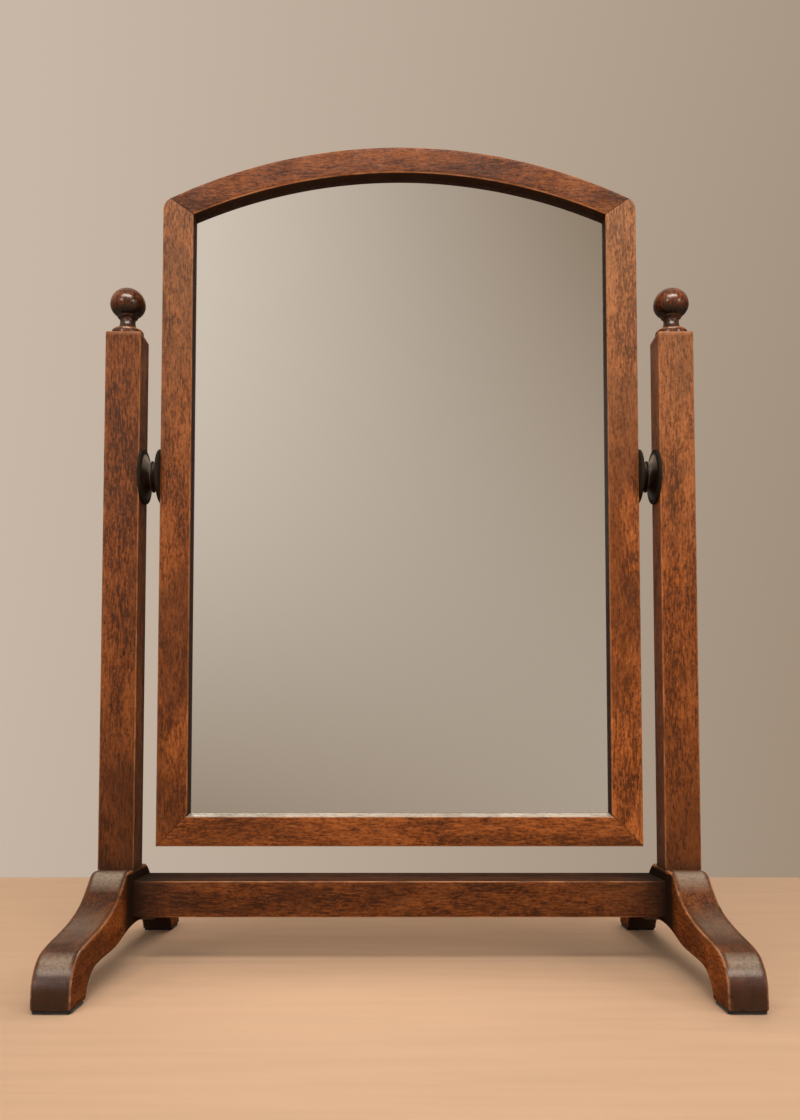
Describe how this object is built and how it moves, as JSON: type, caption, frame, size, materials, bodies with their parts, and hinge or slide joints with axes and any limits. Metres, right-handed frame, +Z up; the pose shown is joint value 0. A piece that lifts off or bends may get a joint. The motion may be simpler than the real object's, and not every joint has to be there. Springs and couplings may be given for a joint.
{
  "type": "dressing table mirror",
  "caption": "Arched swing mirror in a wooden frame, hung on turned pivots between two posts with ball finials, on sledge feet joined by a stretcher rail.",
  "frame": {"origin": "on the surface that it stands on, under the middle of the stand", "axes": "+X to the right as seen from the front, +Y from the front to the back, +Z up"},
  "size_m": [0.44, 0.307, 0.611],
  "materials": {
    "stand_walnut": "worn varnished walnut",
    "frame_walnut": "worn varnished walnut",
    "turned_walnut": "dark polished walnut",
    "softwood": "bare, aged",
    "silvered_glass": "silvered behind",
    "brass": "dull brass",
    "steel": "aged steel",
    "leather": "dark leather",
    "felt": "dark felt"
  },
  "bodies": {
    "stand": {"left_foot": "stand_walnut", "right_foot": "stand_walnut", "foot_pads": "felt", "left_post": "stand_walnut", "right_post": "stand_walnut", "left_finial": "turned_walnut", "right_finial": "turned_walnut", "foot_screws": "steel", "stretcher_rail": "stand_walnut", "rail_dowels": "softwood", "left_post_boss": "turned_walnut", "right_post_boss": "turned_walnut", "left_bush": "brass", "right_bush": "brass", "left_friction_washer": "leather", "right_friction_washer": "leather"},
    "mirror": {"left_stile": "frame_walnut", "right_stile": "frame_walnut", "arched_rail": "frame_walnut", "bottom_rail": "frame_walnut", "corner_splines": "softwood", "mirror_glass": "silvered_glass", "glass_wedges": "softwood", "backing_board": "softwood", "backing_screws": "brass", "left_frame_boss": "turned_walnut", "right_frame_boss": "turned_walnut", "left_insert": "brass", "right_insert": "brass", "left_pivot_bolt": "steel", "right_pivot_bolt": "steel", "left_spring_washer": "steel", "right_spring_washer": "steel"}
  },
  "joints": [
    {"name": "mirror_swing", "type": "hinge", "parent": "stand", "child": "mirror", "pos_m": [0, 0, 0.3605], "axis": [1, 0, 0], "continuous": true}
  ]
}
